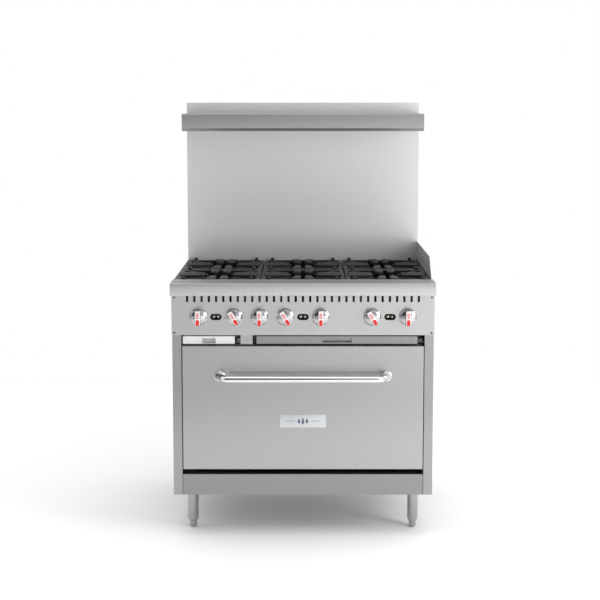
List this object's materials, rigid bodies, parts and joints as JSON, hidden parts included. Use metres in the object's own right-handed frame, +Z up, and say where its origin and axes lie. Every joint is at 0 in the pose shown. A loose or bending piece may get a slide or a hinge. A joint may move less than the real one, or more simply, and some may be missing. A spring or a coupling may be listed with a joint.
{
  "type": "commercial gas range",
  "caption": "Restaurant gas range: open burners under cast grates, gas oven with a drop-down door, crumb trays, riser with a high shelf, on adjustable legs.",
  "frame": {"origin": "on the floor, midway across the width and midway between the door handle's front and the end of the gas inlet", "axes": "+X to the cook's right, +Y to the back, +Z up"},
  "size_m": [0.918, 0.875, 1.532],
  "materials": {
    "stainless": "horizontal brushed grain",
    "galvanised": "dull mill finish",
    "cast_iron": "sand-cast, matt black",
    "brass": "machined",
    "chrome": "polished",
    "aluminium": "satin",
    "wool": "mineral wool",
    "rope_seal": "woven glass fibre",
    "zinc": "zinc plated",
    "enamelled_steel": "speckled porcelain enamel"
  },
  "bodies": {
    "cabinet": {"back_panel": "galvanised", "base_pan": "galvanised", "burner_bodies": "cast_iron", "burner_heads": "cast_iron", "burner_supports": "galvanised", "burner_valves": "brass", "control_panel": "stainless", "door_gasket": "rope_seal", "door_springs": "zinc", "front_rail": "stainless", "gas_manifold": "galvanised", "heat_shield": "galvanised", "high_shelf": "stainless", "hinge_brackets": "zinc", "kick_panel": "stainless", "legs": "stainless", "oven_burner": "galvanised", "oven_deck": "enamelled_steel", "oven_flue": "galvanised", "oven_frame": "galvanised", "oven_gas_line": "galvanised", "oven_liner": "enamelled_steel", "oven_wool": "wool", "panel_screws": "zinc", "pilots": "brass", "rack_guides": "zinc", "riser_back": "galvanised", "riser_front": "stainless", "side_guard": "stainless", "side_panel_left": "stainless", "side_panel_right": "stainless", "thermostat": "brass", "top_frame": "galvanised", "tray_runners": "galvanised"},
    "door": {"badge_plate": "aluminium", "door_handle": "chrome", "door_liner": "enamelled_steel", "door_skin": "stainless", "door_wool": "wool", "hinge_pins": "zinc"},
    "knob_1": {"knob_1": "chrome"},
    "knob_2": {"knob_2": "chrome"},
    "knob_3": {"knob_3": "chrome"},
    "knob_4": {"knob_4": "chrome"},
    "knob_5": {"knob_5": "chrome"},
    "knob_6": {"knob_6": "chrome"},
    "knob_7": {"knob_7": "chrome"},
    "crumb_tray_left": {"crumb_tray_left": "galvanised"},
    "crumb_tray_right": {"crumb_tray_right": "galvanised"},
    "rack": {"oven_rack": "zinc"},
    "grate_front_1": {"grate_front_1": "cast_iron"},
    "grate_front_2": {"grate_front_2": "cast_iron"},
    "grate_front_3": {"grate_front_3": "cast_iron"},
    "grate_back_1": {"grate_back_1": "cast_iron"},
    "grate_back_2": {"grate_back_2": "cast_iron"},
    "grate_back_3": {"grate_back_3": "cast_iron"},
    "foot_1": {"foot_1": "zinc"},
    "foot_2": {"foot_2": "zinc"},
    "foot_3": {"foot_3": "zinc"},
    "foot_4": {"foot_4": "zinc"}
  },
  "joints": [
    {"name": "door_hinge", "type": "hinge", "parent": "cabinet", "child": "door", "pos_m": [0, -0.3395, 0.262], "axis": [1, 0, 0], "range_deg": [0, 88], "stiffness_Nm_per_rad": 14, "springref_deg": -20.05},
    {"name": "knob_1_turn", "type": "hinge", "parent": "cabinet", "child": "knob_1", "pos_m": [-0.3655, -0.365, 0.79], "axis": [0, -1, 0], "range_deg": [0, 90]},
    {"name": "knob_2_turn", "type": "hinge", "parent": "cabinet", "child": "knob_2", "pos_m": [-0.2415, -0.365, 0.79], "axis": [0, -1, 0], "range_deg": [-33, 57]},
    {"name": "knob_3_turn", "type": "hinge", "parent": "cabinet", "child": "knob_3", "pos_m": [-0.15175, -0.365, 0.79], "axis": [0, -1, 0], "range_deg": [0, 270]},
    {"name": "knob_4_turn", "type": "hinge", "parent": "cabinet", "child": "knob_4", "pos_m": [-0.062, -0.365, 0.79], "axis": [0, -1, 0], "range_deg": [-33, 57]},
    {"name": "knob_5_turn", "type": "hinge", "parent": "cabinet", "child": "knob_5", "pos_m": [0.062, -0.365, 0.79], "axis": [0, -1, 0], "range_deg": [0, 90]},
    {"name": "knob_6_turn", "type": "hinge", "parent": "cabinet", "child": "knob_6", "pos_m": [0.2415, -0.365, 0.79], "axis": [0, -1, 0], "range_deg": [-33, 57]},
    {"name": "knob_7_turn", "type": "hinge", "parent": "cabinet", "child": "knob_7", "pos_m": [0.3655, -0.365, 0.79], "axis": [0, -1, 0], "range_deg": [0, 90]},
    {"name": "crumb_tray_left_slide", "type": "slide", "parent": "cabinet", "child": "crumb_tray_left", "axis": [0, -1, 0], "range_m": [0, 0.48]},
    {"name": "crumb_tray_right_slide", "type": "slide", "parent": "cabinet", "child": "crumb_tray_right", "axis": [0, -1, 0], "range_m": [0, 0.48]},
    {"name": "rack_slide", "type": "slide", "parent": "cabinet", "child": "rack", "axis": [0, -1, 0], "range_m": [-0.018, 0.013]},
    {"name": "grate_front_1_lift", "type": "slide", "parent": "cabinet", "child": "grate_front_1", "axis": [0, 0, 1], "range_m": [0, 0.12]},
    {"name": "grate_front_2_lift", "type": "slide", "parent": "cabinet", "child": "grate_front_2", "axis": [0, 0, 1], "range_m": [0, 0.12]},
    {"name": "grate_front_3_lift", "type": "slide", "parent": "cabinet", "child": "grate_front_3", "axis": [0, 0, 1], "range_m": [0, 0.12]},
    {"name": "grate_back_1_lift", "type": "slide", "parent": "cabinet", "child": "grate_back_1", "axis": [0, 0, 1], "range_m": [0, 0.12]},
    {"name": "grate_back_2_lift", "type": "slide", "parent": "cabinet", "child": "grate_back_2", "axis": [0, 0, 1], "range_m": [0, 0.12]},
    {"name": "grate_back_3_lift", "type": "slide", "parent": "cabinet", "child": "grate_back_3", "axis": [0, 0, 1], "range_m": [0, 0.12]},
    {"name": "foot_1_screw", "type": "slide", "parent": "cabinet", "child": "foot_1", "axis": [0, 0, -1], "range_m": [0, 0.02]},
    {"name": "foot_2_screw", "type": "slide", "parent": "cabinet", "child": "foot_2", "axis": [0, 0, -1], "range_m": [0, 0.02]},
    {"name": "foot_3_screw", "type": "slide", "parent": "cabinet", "child": "foot_3", "axis": [0, 0, -1], "range_m": [0, 0.02]},
    {"name": "foot_4_screw", "type": "slide", "parent": "cabinet", "child": "foot_4", "axis": [0, 0, -1], "range_m": [0, 0.02]}
  ]
}
